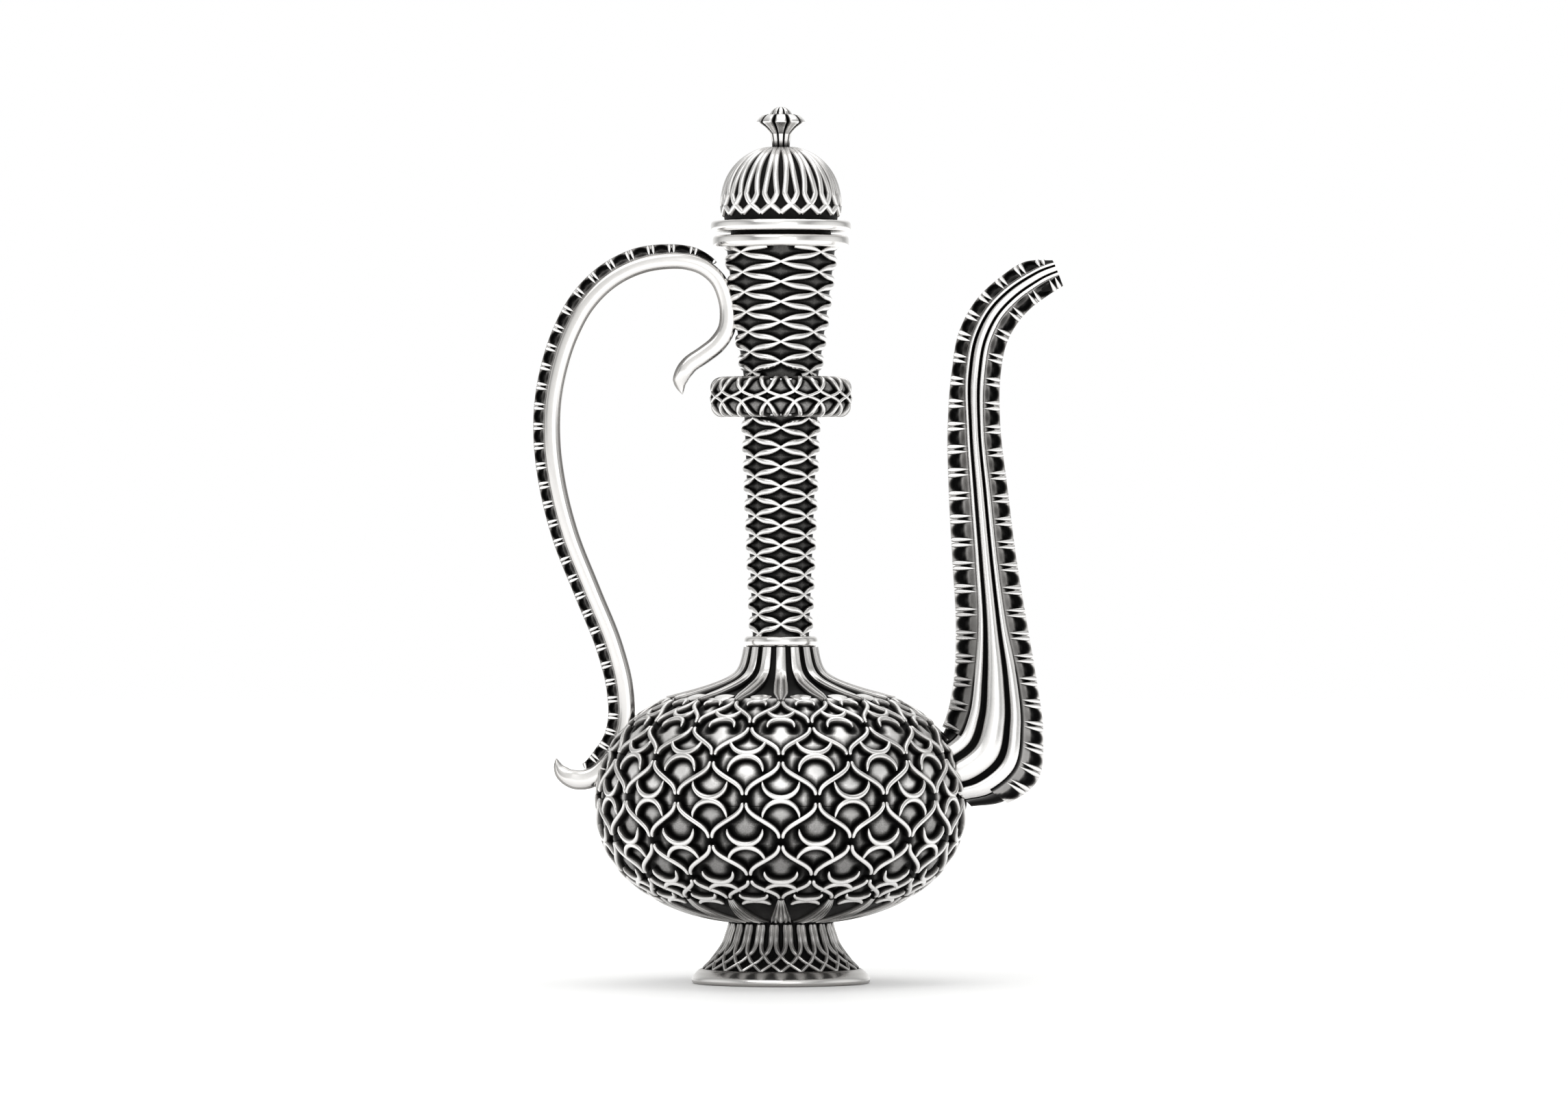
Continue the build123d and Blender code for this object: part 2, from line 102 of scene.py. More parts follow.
class Outline:
    """A (radius, height) line going up, that a surface is turned from."""

    def __init__(self, line):
        line = np.array(line, float)
        self.radius = line[:, 0]
        self.height = line[:, 1]
        self.length = lengths(line[:, :2])
        self.out_radius = np.gradient(self.height, self.length)
        self.out_height = -np.gradient(self.radius, self.length)

    def at(self, height):
        """How far along the outline a height is."""
        return np.interp(height, self.height, self.length)

    def radius_at(self, along):
        """The outline's radius at a distance along it."""
        return np.interp(along, self.length, self.radius)

    def height_at(self, along):
        """The outline's height at a distance along it."""
        return np.interp(along, self.length, self.height)

    def place(self, turn, along, lift=0.0):
        """Points on the turned surface, raised from it by lift."""
        radius = self.radius_at(along) + lift * np.interp(along, self.length, self.out_radius)
        height = self.height_at(along) + lift * np.interp(along, self.length, self.out_height)
        return around(turn, radius, height)

    def out(self, turn, along):
        """The directions straight out of the turned surface."""
        return unit(around(turn, np.interp(along, self.length, self.out_radius),
                           np.interp(along, self.length, self.out_height)))


# ------------------------------------------------------------------ building a piece's surface

class Skin:
    """Collects the surface of one piece, with how bright each point is kept.

    Shine runs from 0, in a blackened recess, to 1, on a rubbed high spot. In places it also carries painted
    highlights and painted shade.
    """

    def __init__(self):
        self.points = []
        self.shine = []
        self.faces = []
        self.count = 0

    def grid(self, points, shine, closed_rows=False, closed_columns=False, capped=False):
        """Join rows of points into a surface, and cap its first and last rows if asked."""
        rows, columns = points.shape[:2]
        index = self.count + np.arange(rows * columns).reshape(rows, columns)
        self.points.append(points.reshape(-1, 3))
        self.shine.append(np.broadcast_to(shine, (rows, columns)).reshape(-1))
        self.count += rows * columns
        if capped:
            self.faces.append(index[0][::-1].tolist())
            self.faces.append(index[-1].tolist())
        if closed_columns:
            index = np.hstack([index, index[:, :1]])
        if closed_rows:
            index = np.vstack([index, index[:1]])
        corners = [index[:-1, :-1], index[:-1, 1:], index[1:, 1:], index[1:, :-1]]
        self.faces.extend(np.stack(corners, axis=-1).reshape(-1, 4).tolist())

    def wall(self, outer, inner, shine):
        """Join an outer and an inner surface into a closed wall, blackened on the inside."""
        self.grid(np.vstack([outer, inner]), np.vstack([shine, 0 * shine]), closed_rows=True,
                  closed_columns=True)

    def piece(self, name, material, nodes, body="pot", crease=38):
        """Make the collected surface a Blender object that stands for CAD nodes."""
        mesh = bpy.data.meshes.new(name)
        mesh.from_pydata((np.vstack(self.points) * MM).tolist(), [], self.faces)
        mesh.shade_smooth()
        mesh.set_sharp_from_angle(angle=math.radians(crease))
        layer = mesh.attributes.new("shine", "FLOAT", "POINT")
        layer.data.foreach_set("value", np.concatenate(self.shine).astype(np.float32))
        mesh.materials.append(material)
        made = bpy.data.objects.new(name, mesh)
        bpy.context.scene.collection.objects.link(made)
        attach(made, body)
        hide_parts(*nodes)
        return made


# The cross-section of a raised strand: a rounded top on steep sides. Each point has its
# place across in widths, its fall from the crest in widths, how much of the depth it is
# sunk by, and its shine.
# Painted highlight: the shine is brightest along the middle of the crest and falls off to its sides; the
# black at the foot of the walls is patina in the hollows.
CREST_TURNS = np.radians(np.linspace(-90, 90, 7))
STRAND_SECTION = np.array(
    [(-0.60, 0.40, 1.0, 0.0), (-0.53, 0.40, 0.45, 0.30)]
    + [(0.5 * math.sin(a), 0.4 * (1 - math.cos(a)), 0.0, 0.62 + 0.38 * math.cos(a)) for a in CREST_TURNS]
    + [(0.53, 0.40, 0.45, 0.30), (0.60, 0.40, 1.0, 0.0)])


# The same with two shallow flutes cut along the crest
FLUTED_SECTION = STRAND_SECTION + np.where(np.isclose(np.abs(STRAND_SECTION[:, :1]), 0.25),
                                           [(0, 0.08, 0, -0.3)], 0)


def strand(skin, centre, out, width, depth, section=STRAND_SECTION):
    """Sweep a strand's section along centre, with its crest towards out."""
    side = unit(np.cross(np.gradient(centre, axis=0), out))
    width, depth = (np.broadcast_to(v, len(centre))[:, None] for v in (width, depth))
    across, fall, sunk, shine = section.T
    down = fall * width + sunk * np.maximum(depth - 0.4 * width, 0.05)
    points = (centre[:, None] + side[:, None] * (across * width)[..., None]
              - out[:, None] * down[..., None])
    skin.grid(points, shine, closed_columns=True, capped=True)


def spread(count):
    """Shares from 0 to 1, closer together near both ends."""
    return (1 - np.cos(np.linspace(0, math.pi, count))) / 2


def blunt(share, reach, least=0.3):
    """1 along a strand and rounding off to least within reach of both ends."""
    near = np.clip(np.minimum(share, 1 - share) / reach, 0, 1)
    return least + (1 - least) * np.sqrt(1 - (1 - near) ** 2)


RING_COLUMNS = 192


def turned(skin, line):
    """Turn a closed (radius, height, shine) line about the axis."""
    line = np.array(line)
    turn = np.linspace(0, 360, RING_COLUMNS, endpoint=False)[None, :]
    points = around(turn, line[:, :1], line[:, 1:2])
    skin.grid(points, line[:, 2:3], closed_rows=True, closed_columns=True)


def rounded_band(bore, radius, bottom, top, corner, bulge=0.25):
    """A closed line round a ring's section, with rounded outer corners and a soft bulge."""
    line = [(bore, bottom, 0.3)]
    for a in np.radians(np.linspace(-90, 0, 7)):
        line.append((radius - corner + corner * math.cos(a), bottom + corner + corner * math.sin(a), 0.95))
    middle = (bottom + top) / 2
    line.append((radius + bulge, middle, 1.0))
    for a in np.radians(np.linspace(0, 90, 7)):
        line.append((radius - corner + corner * math.cos(a), top - corner + corner * math.sin(a), 0.95))
    line.append((bore, top, 0.5))
    return line


# ------------------------------------------------------------------ finishes

def node(tree, kind, settings=None, **links):
    """Add a shader node, set its properties and link its inputs.

    An input goes by its name, or by its number after an underscore.
    """
    made = tree.nodes.new(kind)
    for key, value in (settings or {}).items():
        setattr(made, key, value)
    for key, value in links.items():
        socket = made.inputs[int(key[1:])] if key[0] == "_" else made.inputs[key]
        if isinstance(value, bpy.types.NodeSocket):
            tree.links.new(value, socket)
        else:
            socket.default_value = value
    return made


def fill_ramp(ramp, stops):
    """Give a colour ramp its stops, each a position, red, green and blue."""
    while len(ramp.color_ramp.elements) < len(stops):
        ramp.color_ramp.elements.new(0.5)
    for element, (position, red, green, blue) in zip(ramp.color_ramp.elements, stops):
        element.position = position
        element.color = (red, green, blue, 1)


def silver(name, stops, dark_rough, bright_rough, grain, speckle, plain_shine=None, bump=0.15):
    """Oxidised silver: its colour runs from black to bright with shine, broken by fine grain."""
    material = bpy.data.materials.new(name)
    material.use_nodes = True
    tree = material.node_tree
    shader = tree.nodes["Principled BSDF"]
    shader.inputs["Metallic"].default_value = 1.0
    place = node(tree, "ShaderNodeTexCoord").outputs["Object"]
    fine = node(tree, "ShaderNodeTexNoise", Vector=place, Scale=grain, Detail=2.0).outputs["Fac"]
    broad = node(tree, "ShaderNodeTexNoise", Vector=place, Scale=grain / 14, Detail=3.0).outputs["Fac"]
    if plain_shine is None:
        kept = node(tree, "ShaderNodeAttribute", {"attribute_name": "shine"}).outputs["Fac"]
    else:
        kept = node(tree, "ShaderNodeMapRange", _0=broad, _1=0.3, _2=0.7,
                    _3=plain_shine - 0.04, _4=plain_shine + 0.04).outputs[0]
    centred = node(tree, "ShaderNodeMath", {"operation": "SUBTRACT"}, _0=fine, _1=0.5).outputs[0]
    grainy = node(tree, "ShaderNodeMath", {"operation": "MULTIPLY_ADD"}, _0=centred, _1=speckle,
                  _2=kept).outputs[0]
    ramp = node(tree, "ShaderNodeValToRGB", Fac=grainy)
    fill_ramp(ramp, [(position, grey * (1 + warmth), grey, grey * (1 - warmth))
                     for position, grey, warmth in stops])
    rough = node(tree, "ShaderNodeMapRange", _0=grainy, _1=0.0, _2=1.0, _3=dark_rough,
                 _4=bright_rough).outputs[0]
    worn = node(tree, "ShaderNodeMath", {"operation": "MULTIPLY_ADD"}, _0=broad, _1=0.12,
                _2=rough).outputs[0]
    raised = node(tree, "ShaderNodeBump", Strength=bump, Distance=0.00006, Height=fine).outputs[0]
    tree.links.new(ramp.outputs["Color"], shader.inputs["Base Color"])
    tree.links.new(worn, shader.inputs["Roughness"])
    tree.links.new(raised, shader.inputs["Normal"])
    return material


# Each stop's place on the ramp, its grey and its warmth
RELIEF_STOPS = [(0.0, 0.004, 0.0), (0.3, 0.03, 0.03), (0.55, 0.17, 0.035), (0.8, 0.56, 0.02),
                (1.0, 0.9, 0.012)]
GROUND_STOPS = [(0.0, 0.004, 0.0), (0.25, 0.02, 0.02), (0.5, 0.12, 0.025), (0.8, 0.5, 0.015),
                (1.0, 0.92, 0.01)]
POLISH_STOPS = [(0.0, 0.006, 0.0), (0.4, 0.1, 0.04), (0.75, 0.5, 0.03), (1.0, 0.88, 0.014)]

relief = silver("relief_silver", RELIEF_STOPS, 0.5, 0.17, 4200, 0.22)
ground = silver("oxidised_ground", GROUND_STOPS, 0.62, 0.34, 5200, 0.55, bump=0.3)
polish = silver("polished_silver", POLISH_STOPS, 0.4, 0.10, 2600, 0.05, bump=0.05)
blackened = silver("blackened_silver", GROUND_STOPS, 0.6, 0.4, 5200, 0.35, plain_shine=0.16, bump=0.3)


# ------------------------------------------------------------------ body

BODY_RADIUS = 63.9
BODY_HALF_HEIGHT = 42.4
BODY_POWER = 2.3
BODY_MIDDLE = 62.5
SECTORS = 16
SECTOR = 360 / SECTORS

# Heights of the lattice's nodes, from the palmettes up; they lie on the sectors' centre
# lines and on the lines between them by turns
NODE_HEIGHTS = [29.7, 37.6, 50.2, 64.9, 78.8, 90.0, 98.3]

# Pairs of crescents, back to back: whether they lie between the centre lines, the height
# where they touch, their half width, and the rise and drop of their horns
CRESCENTS = [
    (1, 29.6, 4.8, 3.6, 2.6),
    (0, 35.6, 5.6, 5.2, 4.2),
    (1, 48.8, 6.2, 5.5, 5.0),
    (0, 64.8, 6.3, 5.6, 5.8),
    (1, 80.1, 6.1, 5.2, 5.8),
    (0, 92.4, 4.6, 4.2, 4.4),
    (1, 98.2, 3.2, 0.0, 3.4),
]

body_turns = np.radians(np.linspace(-88, 88, 500))
body_line = Outline(np.stack([
    BODY_RADIUS * np.cos(body_turns) ** (2 / BODY_POWER),
    BODY_MIDDLE + BODY_HALF_HEIGHT * np.sign(body_turns) * np.abs(np.sin(body_turns)) ** (2 / BODY_POWER),
], axis=1))


def body_relief(along):
    """How far the body's ground lies below the crests of its lattice."""
    return 2.7 - (np.abs(body_line.height_at(along) - BODY_MIDDLE) / BODY_HALF_HEIGHT) ** 2


def lattice_paths():
    """Every strand of one sector: its turns, places along the outline, widths and heights."""
    paths = []
    share = spread(23)
    at = body_line.at(np.array(NODE_HEIGHTS))
    for row in range(len(at) - 1):
        gap = 1.15
        along = at[row] + gap + (at[row + 1] - at[row] - 2 * gap) * share
        beside = np.degrees(0.68 / body_line.radius_at(along))
        start = SECTOR / 2 * (row % 2)
        width = (1.15 + 0.55 * np.sin(math.pi * share)) * blunt(share, 0.07)
        for hand in (-1, 1):
            turn = start + hand * (beside + (SECTOR / 2 - 2 * beside) * swing(share))
            paths.append((turn, along, width, blunt(share, 0.1, 0.55)))
    angle = np.radians(np.linspace(-90, 90, 23))
    share = (np.sin(angle) + 1) / 2
    for between, height, half_width, rise, drop in CRESCENTS:
        touch = body_line.at(height)
        for hand, reach in ((1, rise), (-1, drop)):
            if not reach:
                continue
            along = touch + hand * (0.5 + reach * (1 - np.cos(angle)))
            turn = SECTOR / 2 * between + np.degrees(half_width * np.sin(angle) / body_line.radius_at(along))
            width = (0.75 + 1.25 * np.cos(angle)) * blunt(share, 0.012, 0.35)
            paths.append((turn, along, width, blunt(share, 0.02, 0.6)))
    return paths


LATTICE = lattice_paths()


def lattice_piece(name, nodes, keep):
    """The strands whose middles pass the test, repeated round the body."""
    skin = Skin()
    for turn, along, width, full in LATTICE:
        if not keep(body_line.height_at(along[len(along) // 2])):
            continue
        depth = body_relief(along) + 0.4
        for sector in range(SECTORS):
            where = turn + SECTOR * sector
            strand(skin, body_line.place(where, along, -(1 - full) * 0.5 * depth),
                   body_line.out(where, along), width, depth - (1 - full) * 0.5 * depth)
    return skin.piece(name, relief, nodes)


def distance_to_lattice(turn, along, paths, outline):
    """How far each (turn, along) place is from the nearest of some strands' centre lines."""
    nearest = np.full(turn.shape, 99.0)
    for path in paths:
        for far_turn, far_along in zip(path[0], path[1]):
            step = np.radians(turn - far_turn) * outline.radius_at(along)
            nearest = np.minimum(nearest, np.hypot(step, along - far_along))
    return nearest


def openness(outline, paths, along, parts, columns, copies, solid, reach):
    """Turns all round the pot, and how open the work is there, from 0 at a strand to 1.

    The paths repeat in each of the parts of a full turn, which has so many columns. copies are
    the repeats that may come near the first half part. solid is how far a strand reaches from
    its centre line, and reach how much further it is to full openness.
    """
    part = 360 / parts
    half = np.arange(columns // 2 + 1)[None, :] * part / columns
    near = [(path[0] + part * k, path[1]) for path in paths for k in copies]
    gap = distance_to_lattice(*np.broadcast_arrays(half, along), near, outline)
    column = np.arange(columns * parts)
    folded = np.minimum(column % columns, columns - column % columns)
    return column[None, :] * part / columns, ease((gap - solid) / reach)[:, folded]


BODY_WALL = 1.4


def body_ground(name, nodes, bottom, top):
    """The body's shell behind the lattice, pillowed; its patina is black by the strands and lighter in the
    open areas, with painted highlights towards the top and darker below the lattice.
    """
    skin = Skin()
    along = np.arange(body_line.at(bottom), body_line.at(top) + 0.4, 0.9)[:, None]
    turn, light = openness(body_line, LATTICE, along, SECTORS, 32, (0, 1), 0.6, 3.6)
    sunk = body_relief(along)
    height = body_line.height_at(along)
    # Painted light: the ground is made lighter towards the top, standing in for highlights from the light
    # above, and darker below the lattice.
    painted_top_light_dark_base = (0.62 + 0.38 * ease((height - 50) / 22)) * (0.35 + 0.65 * ease((height - 28) / 9))
    outer = body_line.place(turn, along, -sunk + 0.75 * light)
    inner = body_line.place(turn, along[::-1], -sunk[::-1] - BODY_WALL)
    skin.wall(outer, inner, light * painted_top_light_dark_base)
    return skin.piece(name, ground, nodes)


body_ground("bowl_ground", ["bowl"], 20.4, BODY_MIDDLE)
body_ground("shoulder_ground", ["shoulder_shell"], BODY_MIDDLE, 99.3)
lattice_piece("lower_lattice_work", ["lower_lattice"], lambda z: z < BODY_MIDDLE)
lattice_piece("upper_lattice_work", ["upper_lattice"], lambda z: z >= BODY_MIDDLE)


# ------------------------------------------------------------------ fluted leaves

def leaf(skin, outline, turn, top, bottom, widths, raise_by, sink, flutes, ripple):
    """A fluted leaf lying on a turned surface, its half widths set along its length."""
    share = np.linspace(0, 1, 26)
    along = outline.at(top) + (outline.at(bottom) - outline.at(top)) * share
    half = np.interp(share, *np.array(widths).T)
    across = np.concatenate([[-1.04], np.linspace(-1, 1, 29), [1.04]])
    groove = 0.5 + 0.5 * np.cos(across * math.pi * flutes)
    amount = np.interp(share, *np.array(ripple).T)[:, None]
    lift = np.interp(share, *np.array(raise_by).T)[:, None] - 0.35 * across**2 - amount * (1 - groove)
    lift[:, [0, -1]] = -sink
    shine = 1.0 - 0.5 * (1 - groove) * np.clip(amount * 3.2, 0, 1) - 0.15 * across**4
    shine[:, [0, -1]] = 0.0
    angle = turn + np.degrees(half[:, None] * across / outline.radius_at(along)[:, None])
    points = outline.place(angle, along[:, None], lift)
    if outline.at(top) > outline.at(bottom):
        points, shine = points[::-1], shine[::-1]
    skin.grid(points, shine, closed_columns=True, capped=True)


def palmettes():
    """The fluted fans between the lattice and the foot."""
    skin = Skin()
    for sector in range(SECTORS):
        leaf(skin, body_line, SECTOR * sector, 29.6, 21.25,
             widths=[(0, 1.0), (0.12, 1.6), (0.33, 2.4), (0.6, 3.2), (1, 3.4)],
             raise_by=[(0, -0.4), (0.15, 0.2), (0.6, 0.35), (1, 0.1)], sink=1.9, flutes=4,
             ripple=[(0, 0.15), (0.3, 0.45), (1, 0.6)])
    return skin.piece("palmette_fans", relief, ["foot_petals"])


palmettes()

shoulder_line = Outline(smooth_line([(41.5, 97.6), (35.5, 99.2), (28.7, 101.1), (23.3, 102.9), (18.6, 104.9),
                                     (15.5, 106.9), (14.2, 108.9), (13.4, 111.3), (12.5, 115.5)]))


def shoulder_leaves():
    """The broad ribs from the collar down to the lattice, and the bosses between them."""
    skin = Skin()
    for sector in range(SECTORS):
        leaf(skin, shoulder_line, SECTOR * sector, 115.4, 98.2,
             widths=[(0, 1.5), (0.12, 1.6), (0.3, 1.85), (0.5, 2.3), (0.78, 2.4), (0.9, 1.7), (1, 0.9)],
             raise_by=[(0, 0.3), (0.3, 0.25), (0.36, 0.1), (1, 0.3)], sink=1.6, flutes=2,
             ripple=[(0, 0.02), (0.3, 0.03), (0.4, 0.3), (1, 0.3)])
        leaf(skin, shoulder_line, SECTOR * (sector + 0.5), 100.3, 98.5,
             widths=[(0, 1.2), (0.2, 2.9), (0.5, 3.7), (0.8, 2.9), (1, 1.2)],
             raise_by=[(0, -0.9), (0.3, -0.2), (0.7, -0.2), (1, -0.9)], sink=1.6, flutes=1,
             ripple=[(0, 0.0), (1, 0.0)])
    return skin.piece("shoulder_leaves", relief, ["shoulder_ribs"])


shoulder_leaves()


# ------------------------------------------------------------------ neck and knop

lower_neck_line = Outline([(11.15, 118.6), (14.05, 194.6)])
upper_neck_line = Outline(smooth_line([(14.2, 207.6), (17.3, 230.0), (20.2, 253.0)]))
NECK_WALL = 1.2


def neck_paths(outline, first, step, rows, bottom, top):
    """Spindles between the crossings of the bands that wind up a neck both ways."""
    paths = []
    share = spread(17)
    for row in range(-1, rows + 1):
        for half in (0, 1):
            height = first - step * (row + half / 2)
            for hand in (-1, 1):
                z = height - step / 2 * (share + 0.1 * np.sin(2 * math.pi * share))
                inside = (z > bottom) & (z < top)
                if inside.sum() < 4:
                    continue
                swell = np.sin(math.pi * share)
                width = 0.85 + 1.35 * swell**1.2
                turn = 45.0 * half + hand * 45 * share
                lift = 0.3 * (swell - 1)
                paths.append((turn[inside], outline.at(z[inside]), width[inside], lift[inside]))
    return paths


def neck_work(name, nodes, outline, paths, depth):
    """The raised bands of a neck."""
    skin = Skin()
    for turn, along, width, lift in paths:
        for quarter in range(4):
            where = turn + 90 * quarter
            strand(skin, outline.place(where, along, lift), outline.out(where, along), width, depth + lift)
    return skin.piece(name, relief, nodes)


def neck_ground(name, nodes, outline, paths, depth):
    """A neck's tube behind its bands, a little lighter in the middle of each opening."""
    skin = Skin()
    along = np.linspace(0, outline.length[-1], 130)[:, None]
    turn, light = openness(outline, paths, along, 4, 48, (-1, 0, 1), 0.7, 2.2)
    skin.wall(outline.place(turn, along, -depth + 0.35 * light),
              outline.place(turn, along[::-1], -depth - NECK_WALL), light * 0.42)
    return skin.piece(name, ground, nodes)


lower_bands = neck_paths(lower_neck_line, 190.5, 6.73, 11, 119.0, 194.2)
upper_bands = neck_paths(upper_neck_line, 247.05, 6.83, 6, 208.0, 252.6)
neck_work("lower_neck_bands", ["lower_neck_lattice"], lower_neck_line, lower_bands, 1.9)
neck_work("upper_neck_bands", ["upper_neck_lattice"], upper_neck_line, upper_bands, 1.9)
neck_ground("lower_neck_ground", ["lower_neck"], lower_neck_line, lower_bands, 1.85)
neck_ground("upper_neck_ground", ["upper_neck"], upper_neck_line, upper_bands, 1.85)

KNOP_MIDDLE = 201.1
KNOP_RADIUS = 24.5
KNOP_HALF = 7.0
KNOP_CORNER = 4.2


def knop_section():
    """The knop's outline from its lower face, round its edge, to its upper face."""
    line = [(13.0, KNOP_MIDDLE - KNOP_HALF)]
    for a in np.radians(np.linspace(-90, 0, 12)):
        line.append((KNOP_RADIUS - KNOP_CORNER + KNOP_CORNER * math.cos(a),
                     KNOP_MIDDLE - KNOP_HALF + KNOP_CORNER * (1 + math.sin(a))))
    upper = [(radius, 2 * KNOP_MIDDLE - height) for radius, height in reversed(line)]
    line = np.array(line + upper)
    at = lengths(line)
    fine = np.linspace(0, at[-1], 240)
    return np.stack([np.interp(fine, at, line[:, 0]), np.interp(fine, at, line[:, 1])], axis=1)


knop_line = Outline(knop_section())
knop_half = knop_line.length[-1] / 2


def knop_paths():
    """One sector's two curved strands, from the knop's lower face to its upper face."""
    knots = smooth_line([(-18.6, -16.0), (-18.4, -12.0), (-17.7, -7.9), (-15.2, -4.2), (-11.25, -1.95),
                         (-5.7, -0.75), (0, 0), (5.7, 0.75), (11.25, 1.95), (15.2, 4.2), (17.7, 7.9),
                         (18.4, 12.0), (18.6, 16.0)], steps=5)
    along = knop_half + knots[:, 1]
    share = np.linspace(0, 1, len(along))
    width = 1.1 + 0.45 * ease(np.abs(knots[:, 1]) / 7)
    return [(hand * knots[:, 0], along, width, blunt(share, 0.05)) for hand in (-1, 1)]


def knop_pieces():
    """The knop's bands, and the hollow ring behind them."""
    skin = Skin()
    paths = knop_paths()
    for turn, along, width, full in paths:
        for sector in range(SECTORS):
            where = turn + SECTOR * sector
            strand(skin, knop_line.place(where, along, 0.6 * (full - 1)), knop_line.out(where, along), width,
                   1.5 + 0.6 * full)
    skin.piece("knop_bands", relief, ["knop_lattice"])
    skin = Skin()
    along = np.linspace(0, 2 * knop_half, 90)[:, None]
    turn, light = openness(knop_line, paths, along, SECTORS, 24, (-1, 0, 1, 2), 0.6, 1.7)
    skin.wall(knop_line.place(turn, along, -1.8 + 0.5 * light),
              knop_line.place(turn, along[::-1], -3.2), light * 0.6)
    skin.piece("knop_ground", ground, ["knop"])


knop_pieces()


# ------------------------------------------------------------------ ribbed foot and dome

def ribbed(name, nodes, outline, pairs, knots, width, depth, section, body="pot"):
    """Ribs that run down in pairs, part, cross their neighbours and end in a row of points.

    knots give a rib's turn from its pair's centre, its height and its width.
    """
    skin = Skin()
    line = smooth_line(knots, steps=6)
    share = np.linspace(0, 1, len(line))
    along = outline.at(line[:, 1])
    for pair in range(pairs):
        for hand in (-1, 1):
            where = 360 / pairs * (pair + 0.5) + hand * line[:, 0]
            strand(skin, outline.place(where, along, 0.25 * (blunt(share, 0.03) - 1)),
                   outline.out(where, along), line[:, 2] * width, depth, section)
    return skin.piece(name, relief, nodes, body)


foot_line = Outline(smooth_line([(27.6, 4.6), (26.8, 5.6), (24.4, 8.2), (22.7, 10.3), (21.15, 12.5),
                                 (20.0, 14.6), (19.3, 16.7), (18.6, 18.8), (18.0, 21.6), (17.9, 22.6)]))
ribbed("foot_ribs", ["foot_tracery"], foot_line, 24,
       [(-2.4, 20.9, 0.8), (-2.5, 20.0, 1.0), (-2.5, 17.0, 1.0), (-2.9, 14.0, 1.0), (-4.6, 12.0, 1.0),
        (-6.9, 10.6, 0.8), (-4.4, 9.2, 0.8), (0.0, 7.8, 0.8), (4.2, 6.5, 0.8), (7.5, 5.4, 0.8)],
       1.7, 1.4, FLUTED_SECTION)

DOME_MIDDLE = 266.5
dome_turns = np.radians(np.linspace(0, 89, 200))
dome_line = Outline([(20.3, 261.5), (20.5, 262.5), (20.8, 264.5)] + [
    (20.9 * math.cos(a) ** (2 / 2.15), DOME_MIDDLE + 21.0 * math.sin(a) ** (2 / 2.15)) for a in dome_turns])
ribbed("dome_ribs", ["lid_tracery"], dome_line, 18,
       [(-6.5, 287.1, 0.55), (-4.3, 285.6, 0.8), (-3.5, 282.6, 0.95), (-3.9, 279.0, 1.0), (-4.6, 275.5, 1.0),
        (-5.7, 272.0, 1.0), (-6.1, 270.6, 1.0), (-5.0, 269.4, 1.0), (0.0, 266.7, 1.0), (5.2, 265.1, 1.0),
        (10.0, 263.6, 1.0)], 2.1, 1.5, STRAND_SECTION, body="lid")


# ------------------------------------------------------------------ turned rings

def ring_piece(name, nodes, line, body="pot"):
    """A polished ring, turned from its closed (radius, height, shine) line."""
    skin = Skin()
    turned(skin, line)
    return skin.piece(name, polish, nodes, body)


ring_piece("collar_ring", ["neck_collar"], rounded_band(8.4, 12.5, 115.4, 119.1, 1.3, bulge=0.1))
ring_piece("rim_ring", ["mouth_rim"], rounded_band(16.0, 23.3, 252.4, 256.5, 1.2, bulge=0.1))
ring_piece("lid_ring", ["lid_flange"], rounded_band(14.3, 24.0, 257.8, 261.5, 1.2, bulge=0.1), body="lid")
# Painted highlight and shade: the shine peaks in a band round the ring's widest part and falls off above it
# and down towards the floor.
ring_piece("base_step", ["base_ring"], [
    (22.5, 0.0, 0.2), (29.6, 0.0, 0.35), (30.15, 0.1, 0.45), (30.5, 0.5, 0.62), (30.7, 1.15, 0.78),
    (30.68, 1.6, 0.98), (30.45, 2.2, 1.0), (30.0, 2.8, 0.9), (29.2, 3.7, 0.82), (28.5, 4.4, 0.8),
    (27.9, 4.85, 0.7), (27.2, 5.1, 0.45), (26.6, 5.0, 0.3), (22.5, 5.0, 0.2)])


# ------------------------------------------------------------------ finial

# The finial's pieces from below: name, CAD node, and knots of radius, height, how deep the
# flutes cut, and shine
FINIAL = [
    ("finial_flutes", "finial_stem", [
        (0.3, 282.7, 0, 0), (1.4, 282.8, 0, 0.1), (1.4, 286.0, 0, 0.1), (3.0, 286.4, 0.14, 0.15),
        (3.1, 287.6, 0.16, 0.4), (3.2, 289.2, 0.16, 0.85), (3.7, 291.4, 0.15, 0.9), (0.3, 291.4, 0.1, 0.2)]),
    ("finial_petals", "finial_flower", [
        (0.3, 291.2, 0, 0.3), (3.65, 291.4, 0.15, 0.9), (4.6, 292.4, 0.14, 0.95), (6.0, 293.6, 0.12, 1.0),
        (7.3, 294.5, 0.1, 0.9), (8.5, 295.15, 0.09, 1.0), (8.6, 295.45, 0.09, 1.0), (8.2, 296.2, 0.09, 1.0),
        (7.5, 297.0, 0.09, 1.0), (6.6, 297.7, 0.08, 0.95), (5.3, 298.1, 0.08, 0.9), (0.3, 298.0, 0.0, 0.3)]),
    ("finial_bud", "finial_button", [
        (0.3, 297.8, 0, 0.2), (3.9, 297.95, 0.1, 0.5), (3.75, 298.5, 0.12, 0.95), (3.2, 299.4, 0.12, 1.0),
        (2.5, 300.1, 0.12, 1.0), (1.3, 300.6, 0.08, 1.0), (0.3, 300.75, 0.0, 1.0)]),
]
FINIAL_COLUMNS = 240


